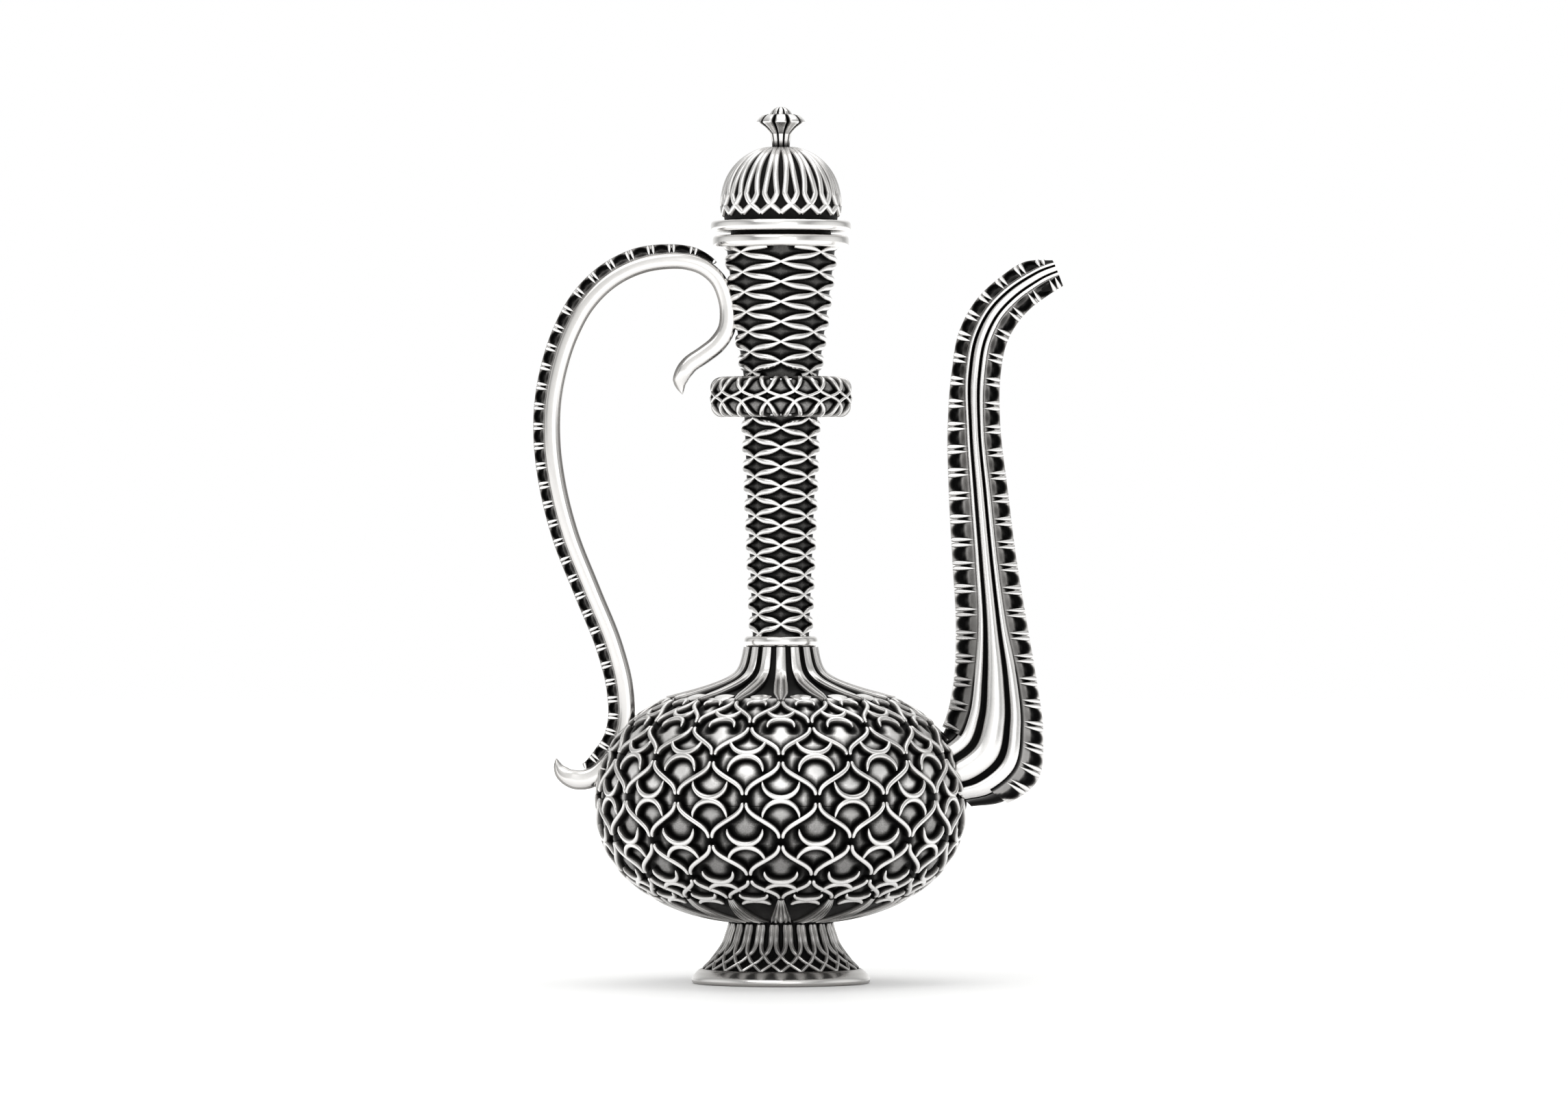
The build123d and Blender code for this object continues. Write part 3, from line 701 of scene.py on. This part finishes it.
def finial_pieces():
    """The fluted stem, the ten-lobed flower and the button on top."""
    turn = np.arange(FINIAL_COLUMNS)[None, :] * 360 / FINIAL_COLUMNS
    lobe = np.abs(np.cos(np.radians(turn * 5)))
    groove = (1 - lobe) ** 3.5 * 1.6
    for name, cad_node, knots in FINIAL:
        radius, height, flute, shine = (column[:, None] for column in np.array(knots).T)
        skin = Skin()
        skin.grid(around(turn, radius * (1 - np.clip(flute * groove * 1.6, 0, 0.6)), height),
                  shine * (1 - np.clip(groove * 1.5, 0, 1) * (flute > 0)),
                  closed_columns=True, capped=True)
        skin.piece(name, relief, [cad_node], "lid")


finial_pieces()


# ------------------------------------------------------------------ handle

HANDLE_LINE = smooth_line([
    (-33.8, 202.1), (-34.6, 206.6), (-31.7, 211.9), (-26.4, 215.7), (-21.9, 219.3), (-18.6, 224.6),
    (-18.1, 229.8), (-19.0, 235.4), (-21.6, 241.3), (-26.6, 245.6), (-32.9, 247.5), (-39.2, 247.6),
    (-46.8, 246.4), (-58.0, 241.1), (-66.3, 232.9), (-71.9, 222.8), (-76.1, 210.1), (-78.1, 198.6),
    (-78.2, 184.0), (-76.8, 173.0), (-72.4, 155.0), (-64.6, 135.0), (-56.8, 115.4), (-53.3, 101.0),
    (-53.2, 88.1), (-55.6, 80.6), (-59.8, 74.6), (-64.6, 70.6), (-69.6, 69.7), (-73.6, 71.0),
    (-76.1, 73.6), (-77.1, 77.1)], steps=8)
STRAP_HALF_DEPTH = 4.4


class Track:
    """A smooth line in the XZ plane, with its inner side known everywhere."""

    def __init__(self, line):
        self.line = line[:, :2]
        self.length = lengths(self.line)
        heading = unit(np.gradient(self.line, axis=0))
        self.inner = np.stack([-heading[:, 1], heading[:, 0]], axis=1)

    def place(self, along, offset, depth):
        """Points at a distance along, an offset to the inner side and a depth in Y."""
        along, offset, depth = np.broadcast_arrays(along, offset, depth)
        x, z = (np.interp(along, self.length, spot) + offset * np.interp(along, self.length, inner)
                for spot, inner in zip(self.line.T, self.inner.T))
        return np.stack([x, depth, z], axis=-1)


handle_track = Track(HANDLE_LINE)
strap_length = handle_track.length[-1]
STRAP_WIDTHS = np.array([(0, 0.3), (1.5, 2.2), (4.5, 5.0), (9, 5.9), (24, 6.1), (38, 5.6), (60, 5.4),
                         (strap_length - 34, 5.4), (strap_length - 16, 6.7), (strap_length - 10, 6.4),
                         (strap_length - 5, 4.8), (strap_length - 1.5, 2.0), (strap_length, 0.3)])


def strap_half(along):
    """Half the strap's width at a distance along it."""
    return np.interp(along, *STRAP_WIDTHS.T) / 2


def strap_piece():
    """The flat strap: crowned sides, a narrow bevel on the inner edge, rounded corners."""
    along = np.concatenate([np.linspace(0, 12, 14), np.linspace(13.5, strap_length - 13.5, 150),
                            np.linspace(strap_length - 12, strap_length, 14)])[:, None]
    half = strap_half(along)
    depth = STRAP_HALF_DEPTH * (1 - 0.35 * ease(1 - np.minimum(along, strap_length - along) / 9))
    bevel = np.minimum(0.8, half * 0.4)
    # Painted shade: the shine drops on the inner edge's bevel and towards the outer edge, leaving the broad
    # face bright.
    front = [(half, 0.0 * half, 0.95), (half, -depth + bevel + 0.1, 0.93),
             (half - 0.12, -depth + bevel - 0.1, 0.6), (half - bevel * 0.5, -depth + 0.35 * bevel, 0.66),
             (half - bevel, -depth + 0.12, 0.7),
             (half - bevel - 0.1, -depth - 0.02, 0.97), (half * 0.4, -depth - 0.28, 1.0),
             (-half * 0.1, -depth - 0.33, 1.0), (-half * 0.55, -depth - 0.2, 0.98),
             (-half * 0.85, -depth, 0.92), (-half * 0.97, -depth + 0.4, 0.8), (-half, -depth + 0.9, 0.5),
             (-half, 0 * half, 0.4)]
    back = [(offset, -y, shine) for offset, y, shine in front[-2:0:-1]]
    points = np.stack([handle_track.place(along[:, 0], offset[:, 0], np.broadcast_to(y, along.shape)[:, 0])
                       for offset, y, _ in front + back], axis=1)
    skin = Skin()
    shine = 0.9 * np.array([shine for _, _, shine in front + back])
    skin.grid(points, shine[None, :], closed_columns=True, capped=True)
    return skin.piece("handle_band", polish, ["handle_strap"], crease=50)


strap_piece()


def scooped_rail(skin, along, inner, outer, place, cell, flat):
    """A rail of dark scooped cells between two lines beside a track.

    inner and outer are its offsets, place turns (along, offset, y) into points, cell gives
    each row's share of its cell and flat the half depths next to the band, in the scoop and
    at the lip.
    """
    hollow = np.sin(math.pi * cell)
    near, deep, lip = flat
    shares = np.array([-0.12, 0.02, 0.12, 0.22, 0.32, 0.45, 0.58, 0.7, 0.8, 0.88, 0.94, 1.0])
    front = []
    for share in shares:
        offset = inner + (outer - inner) * share
        scoop = math.sin(math.pi * min(max(share, 0), 1))
        y = near + (lip - near) * share - (near - deep) * scoop * (0.5 + 0.5 * hollow)
        leaf_edge = 0.12 + 0.26 * hollow
        grey = 0.66 * (1 - ease((share - leaf_edge) / 0.12)) * (share >= 0)
        lip_start = 0.8 - 0.3 * np.abs(np.cos(math.pi * cell)) ** 3
        shine = grey + 0.92 * ease((share - lip_start) / 0.22) * (0.8 + 0.2 * np.abs(np.cos(math.pi * cell)))
        front.append((offset, -y, shine))
    front.append((inner + (outer - inner) * 1.01, 0 * near, 0.9 + 0 * hollow))
    back = [(offset, -y, shine) for offset, y, shine in front[-2::-1]]
    ring = front + back
    points = np.stack([place(along, offset, y) for offset, y, _ in ring], axis=1)
    shine = np.stack([np.broadcast_to(s, along.shape) for _, _, s in ring], axis=1)
    skin.grid(points, shine, closed_columns=True, capped=True)


def fin(skin, start, end, out, widths, depth):
    """One fin standing across a rail, from the band side to the lip side."""
    share = spread(9)
    centre = start + (end - start) * share[:, None]
    width = np.interp(share, *np.array(widths).T) * blunt(share, 0.12, 0.4)
    strand(skin, centre, np.broadcast_to(out, centre.shape), width, depth)


RAIL_START = 51.5
RAIL_END = strap_length - 15.5
HANDLE_PITCH = 6.5
RAIL_HEIGHTS = np.array([(RAIL_START, 1.8), (RAIL_START + 6, 3.0), (RAIL_START + 24, 4.0),
                         (RAIL_END - 10, 4.0), (RAIL_END, 2.8)])
HANDLE_FIN_WIDTHS = [(0, 0.2), (0.35, 1.0), (0.8, 1.25), (1, 1.3)]


def rail_height(along):
    """How tall the handle's rail stands at a distance along the strap."""
    return np.interp(along, *RAIL_HEIGHTS.T)


def handle_rail_piece():
    """The studded rail on the handle's outer edge."""
    skin = Skin()
    along = np.linspace(RAIL_START, RAIL_END, 420)
    count = round((RAIL_END - RAIL_START) / HANDLE_PITCH)
    pitch = (RAIL_END - RAIL_START) / count
    cell = ((along - RAIL_START) / pitch) % 1.0
    inner = -strap_half(along)
    outer = inner - rail_height(along) + 0.25
    full = np.ones_like(along)
    scooped_rail(skin, along, inner, outer, handle_track.place, cell, (3.4 * full, 1.6 * full, 2.6 * full))
    for index in range(count + 1):
        single = index in (0, count)
        for shift in ((0.0,) if single else (-0.72, 0.72)):
            where = RAIL_START + pitch * index + shift
            for hand in (-1, 1):
                ends = np.array([[-strap_half(where) - 0.1],
                                 [-strap_half(where) - rail_height(where) + 0.35]])
                start, end = handle_track.place(np.full((2, 1), where), ends,
                                                hand * np.array([[3.3], [3.1]]))[:, 0]
                fin(skin, start, end, np.array([0.0, hand, 0.0]), HANDLE_FIN_WIDTHS, 1.7)
    return skin.piece("handle_studs", relief, ["handle_rail"])


handle_rail_piece()


# ------------------------------------------------------------------ spout

# From the open tip to the root inside the body: front edge (x, z), back edge (x, z), half
# depth, the reeded band's centre as a share of the width, and the band's half width
SPOUT = smooth_line([
    (93.2, 248.1, 96.8, 239.3, 5.0, 0.34, 2.4),
    (84.0, 247.6, 91.5, 235.9, 5.3, 0.47, 2.8),
    (75.0, 242.1, 85.3, 231.2, 5.6, 0.47, 3.1),
    (66.8, 234.2, 80.4, 225.4, 5.9, 0.465, 3.3),
    (61.3, 224.1, 77.1, 218.6, 6.1, 0.47, 3.45),
    (58.6, 210.0, 75.2, 207.6, 6.3, 0.475, 3.5),
    (57.2, 191.0, 75.2, 191.4, 6.7, 0.515, 3.2),
    (57.6, 168.0, 77.8, 168.8, 7.2, 0.53, 3.6),
    (58.8, 145.0, 80.8, 145.0, 8.0, 0.525, 4.0),
    (60.0, 122.0, 84.7, 121.6, 9.4, 0.505, 5.2),
    (59.4, 105.0, 87.8, 103.0, 11.2, 0.50, 8.0),
    (57.4, 94.0, 89.9, 86.5, 12.8, 0.49, 10.0),
    (54.6, 86.5, 87.6, 68.9, 14.0, 0.46, 12.0),
    (51.5, 81.0, 76.5, 61.4, 14.4, 0.42, 12.0),
    (47.0, 79.0, 66.0, 60.0, 13.6, 0.42, 11.0),
], steps=14)

# The band's section: shares across it, heights in reed heights, and shine
REEDS = np.array([
    (0.0, -0.7, 0.1), (0.01, 0.2, 0.8), (0.05, 0.75, 0.95), (0.10, 0.9, 1.0), (0.15, 0.8, 1.0),
    (0.195, 0.4, 0.85), (0.215, -0.2, 0.1), (0.26, -0.45, 0.0), (0.305, -0.2, 0.1), (0.325, 0.5, 0.85),
    (0.37, 0.9, 0.97), (0.43, 1.12, 1.0), (0.49, 1.17, 1.0), (0.55, 1.1, 1.0), (0.61, 0.85, 0.97),
    (0.65, 0.45, 0.85), (0.67, -0.2, 0.1), (0.71, -0.45, 0.0), (0.75, -0.2, 0.1), (0.77, 0.35, 0.85),
    (0.82, 0.75, 1.0), (0.88, 0.85, 1.0), (0.94, 0.7, 0.95), (0.99, 0.2, 0.8), (1.0, -0.7, 0.1),
])


class Spout:
    """The spout's frame: where a share of its width and a depth lie at each row."""

    def __init__(self, rows):
        self.front = rows[:, 0:2]
        self.back = rows[:, 2:4]
        self.depth = rows[:, 4]
        self.centre = rows[:, 5]
        self.band = rows[:, 6]
        self.span = np.linalg.norm(self.back - self.front, axis=1)
        self.first = self.centre - self.band / self.span
        self.last = self.centre + self.band / self.span

    def place(self, share, y):
        """Points at a share of the width, 0 at the front edge and 1 at the back, and depth y."""
        share, y = np.broadcast_arrays(share, y)
        spot = self.front[:, None] + (self.back - self.front)[:, None] * share[..., None]
        return np.stack([spot[..., 0], y, spot[..., 1]], axis=-1)

    def line(self, share, y):
        """A line of points, one for each row, at each row's share of the width and depth y."""
        spot = self.front + (self.back - self.front) * share[:, None]
        return np.stack([spot[:, 0], np.broadcast_to(y, share.shape), spot[:, 1]], axis=-1)


spout = Spout(SPOUT)
spout_rows = len(SPOUT)

# The shares of the width between which the tube lies
FRONT_LIMIT = 0.035
BACK_LIMIT = 0.965


def spout_piece():
    """The spout's hollow tube with the three-reed band on each side."""
    down = np.arange(spout_rows) / (spout_rows - 1)
    reed = np.interp(down, [0, 0.1, 1], [0.8, 1.1, 1.5])[:, None]
    rail = np.interp(down, [0, 0.07, 0.14, 0.22, 1], [0.7, 2.0, 3.0, 3.4, 3.4])
    tall, first, last = (v[:, None] for v in (spout.depth, spout.first, spout.last))

    # One side, from the back edge over the band to the front edge
    to_band = np.array([0.0, 0.25, 0.5, 0.75, 0.97])[None, :]
    from_band = np.array([0.03, 0.25, 0.5, 0.75, 1.0])[None, :]
    across, height, glint = REEDS[::-1].T
    crown = 1 - 0.16 * (2 * across[None, :] - 1) ** 2
    share = np.hstack([BACK_LIMIT + (last + 0.01 - BACK_LIMIT) * to_band,
                       first + (last - first) * across[None, :],
                       first - 0.01 + (FRONT_LIMIT - first + 0.01) * from_band])
    depth = np.hstack([1.3 + (tall * 0.78 - 1.3) * to_band**4,
                       tall * 0.9 * crown + reed * height[None, :],
                       1.3 + (tall * 0.78 - 1.3) * (1 - from_band) ** 4])
    shine = np.broadcast_to(np.concatenate([[0.5, 0.1, 0.1, 0.3, 0.3], glint, [0.3, 0.3, 0.1, 0.1, 0.5]]),
                            share.shape)
    share = np.hstack([share, share[:, ::-1]])
    depth = np.hstack([-depth, depth[:, ::-1]])
    shine = np.hstack([shine, shine[:, ::-1]])

    half = (spout.span / 2 - rail - 1.1)[:, None]
    angle = np.arctan2(depth / tall, (share - 0.5) * spout.span[:, None] / half)
    bore = spout.place(0.5 + half * np.cos(angle) / spout.span[:, None], (tall - 1.2) * np.sin(angle))
    skin = Skin()
    skin.wall(spout.place(share, depth)[::-1], bore, shine[::-1])
    return skin.piece("spout_body", relief,
                      ["spout_tube", "spout_left_reeds", "spout_right_reeds"], crease=60)


spout_piece()

SPOUT_PITCH = 7.95


def spout_rail_piece(name, cad_node, back_side, last_row, phase, widths):
    """A studded rail along the spout's front or back edge, down to a row of the spout.

    phase is how much of the first cell is cut off, and widths are a fin's from band to lip.
    """
    skin = Skin()
    edge = (spout.back if back_side else spout.front)[:last_row]
    run = lengths(edge)
    fine = np.arange(0, run[-1], 0.55)
    rows = np.arange(len(run))
    pick = np.interp(fine, run, rows)
    local = Spout(np.stack([np.interp(pick, rows, column[:last_row]) for column in SPOUT.T], axis=1))
    inner = local.last if back_side else np.maximum(local.first, 0.04)
    outer = np.full_like(fine, 1.0 if back_side else 0.0)
    cell = ((fine + phase) / SPOUT_PITCH) % 1.0
    taper = np.clip(fine / 7.0, 0.35, 1.0)
    near = local.depth * 0.82 - 0.2
    deep = near - np.minimum(near - 1.5 * taper, 2.3)
    lip = 3.3 * taper
    scooped_rail(skin, fine, inner, outer, lambda _, share, y: local.line(share, y), cell, (near, deep, lip))
    ends = local.line(inner, near + 0.1), local.line(outer, lip + 0.7)
    steps = np.arange(len(fine))
    for index in range(int((fine[-1] + phase) / SPOUT_PITCH) + 1):
        for shift in (-0.95, 0.95):
            at = SPOUT_PITCH * index - phase + shift
            if not 1.0 < at < fine[-1] - 1.0:
                continue
            row = np.interp(at, fine, steps)
            pair = [[np.interp(row, steps, column) for column in line.T] for line in ends]
            for hand in (-1, 1):
                start, end = (np.array(spot) * (1, hand, 1) for spot in pair)
                fin(skin, start, end, np.array([0.0, hand, 0.0]), widths, 2.6)
    return skin.piece(name, relief, [cad_node])


spout_rail_piece("spout_front_studs", "spout_front_rail", False, 166, 3.2,
                 [(0, 0.2), (0.35, 1.1), (0.75, 1.7), (1, 1.7)])
spout_rail_piece("spout_back_studs", "spout_back_rail", True, 182, 5.6,
                 [(0, 0.1), (0.4, 0.95), (0.8, 1.75), (1, 1.75)])


# ------------------------------------------------------------------ CAD nodes that stay in view

for cad_node in ("base_plate", "foot_cone", "shoulder_cone", "lid_plug", "lid_dome", "finial_nut"):
    mesh = frame["nodes"][cad_node].data
    mesh.materials.clear()
    mesh.materials.append(blackened)


# ------------------------------------------------------------------ studio

FLOOR_REACH = 6.0


def floor():
    """A pale floor, large enough to run out of every view, with a painted glow: weak by the pot, stronger
    away from it.
    """
    mesh = bpy.data.meshes.new("studio_floor")
    mesh.from_pydata([(x * FLOOR_REACH, y * FLOOR_REACH, 0) for x, y in ((-1, -1), (1, -1), (1, 1), (-1, 1))],
                     [], [(0, 1, 2, 3)])
    material = bpy.data.materials.new("pale_floor")
    material.use_nodes = True
    tree = material.node_tree
    place = node(tree, "ShaderNodeTexCoord").outputs["Object"]
    cloud = node(tree, "ShaderNodeTexNoise", Vector=place, Scale=3.0, Detail=2.0).outputs["Fac"]
    tone = node(tree, "ShaderNodeMapRange", _0=cloud, _1=0.3, _2=0.7, _3=0.93, _4=0.96).outputs[0]
    shader = tree.nodes["Principled BSDF"]
    shader.inputs["Roughness"].default_value = 0.5
    shader.inputs["Specular IOR Level"].default_value = 0.25
    # Painted light: the floor glows, weakly near the pot and more strongly further out, so it runs to white
    # while the shadow by the pot stays.
    away = node(tree, "ShaderNodeVectorMath", {"operation": "LENGTH"}, _0=place).outputs["Value"]
    glow = node(tree, "ShaderNodeMapRange", _0=away, _1=0.1, _2=0.9, _3=0.16, _4=0.62).outputs[0]
    shader.inputs["Emission Color"].default_value = (1, 1, 1, 1)
    tree.links.new(glow, shader.inputs["Emission Strength"])
    tree.links.new(tone, shader.inputs["Base Color"])
    mesh.materials.append(material)
    made = bpy.data.objects.new("studio_floor", mesh)
    bpy.context.scene.collection.objects.link(made)


def world():
    """A studio, plain white to the camera and with greyer bands to the sides for the metal."""
    made = bpy.data.worlds.new("studio")
    bpy.context.scene.world = made
    made.use_nodes = True
    tree = made.node_tree
    way = node(tree, "ShaderNodeTexCoord").outputs["Generated"]
    split = node(tree, "ShaderNodeSeparateXYZ", Vector=way).outputs
    side = node(tree, "ShaderNodeMath", {"operation": "ABSOLUTE"}, _0=split["X"]).outputs[0]
    ramp = node(tree, "ShaderNodeValToRGB", Fac=side)
    stops = [(0.0, 0.98), (0.25, 0.92), (0.5, 0.7), (0.72, 0.38), (0.88, 0.7), (1.0, 0.9)]
    fill_ramp(ramp, [(position, grey, grey, grey * 0.99) for position, grey in stops])
    back = tree.nodes["Background"]
    seen = node(tree, "ShaderNodeLightPath").outputs["Is Camera Ray"]
    shown = node(tree, "ShaderNodeMix", {"data_type": "RGBA"}, _0=seen, _6=ramp.outputs["Color"],
                 _7=(1, 1, 1, 1)).outputs[2]
    tree.links.new(shown, back.inputs["Color"])
    back.inputs["Strength"].default_value = 1.0


def aim(made, spot, target):
    """Put an object at a spot and point its -Z axis at a target."""
    made.location = spot
    made.rotation_euler = (Vector(target) - Vector(spot)).to_track_quat("-Z", "Y").to_euler()


def area_light(name, spot, target, size, power):
    """A soft rectangular light at a spot, pointed at a target."""
    data = bpy.data.lights.new(name, "AREA")
    data.shape = "RECTANGLE"
    data.size, data.size_y = size
    data.energy = power
    made = bpy.data.objects.new(name, data)
    bpy.context.scene.collection.objects.link(made)
    aim(made, spot, target)


# Metres. The distance is an estimate, and VIEW_WIDTH is what the picture spans at the pot.
CAMERA_SPOT = (0.00106, -3.05, 0.1466)
VIEW_WIDTH = 0.538
SENSOR_WIDTH = 36


def camera():
    """The photograph's view: level, and straight along +Y."""
    data = bpy.data.cameras.new("photo_view")
    data.sensor_width = SENSOR_WIDTH
    data.lens = SENSOR_WIDTH * -CAMERA_SPOT[1] / VIEW_WIDTH
    data.clip_end = 50
    made = bpy.data.objects.new("photo_view", data)
    bpy.context.scene.collection.objects.link(made)
    made.location = CAMERA_SPOT
    made.rotation_euler = (math.radians(90), 0, 0)
    bpy.context.scene.camera = made


floor()
world()
area_light("key", (-0.6, -1.2, 1.4), (0, 0, 0.15), size=(1.2, 1.0), power=5.5)
area_light("front", (0.5, -2.2, 0.5), (0, 0, 0.15), size=(1.0, 0.8), power=2.6)
area_light("top", (0.2, 0.3, 1.8), (0, 0, 0.1), size=(1.5, 1.5), power=7)
camera()
bpy.context.scene.view_settings.view_transform = "Standard"
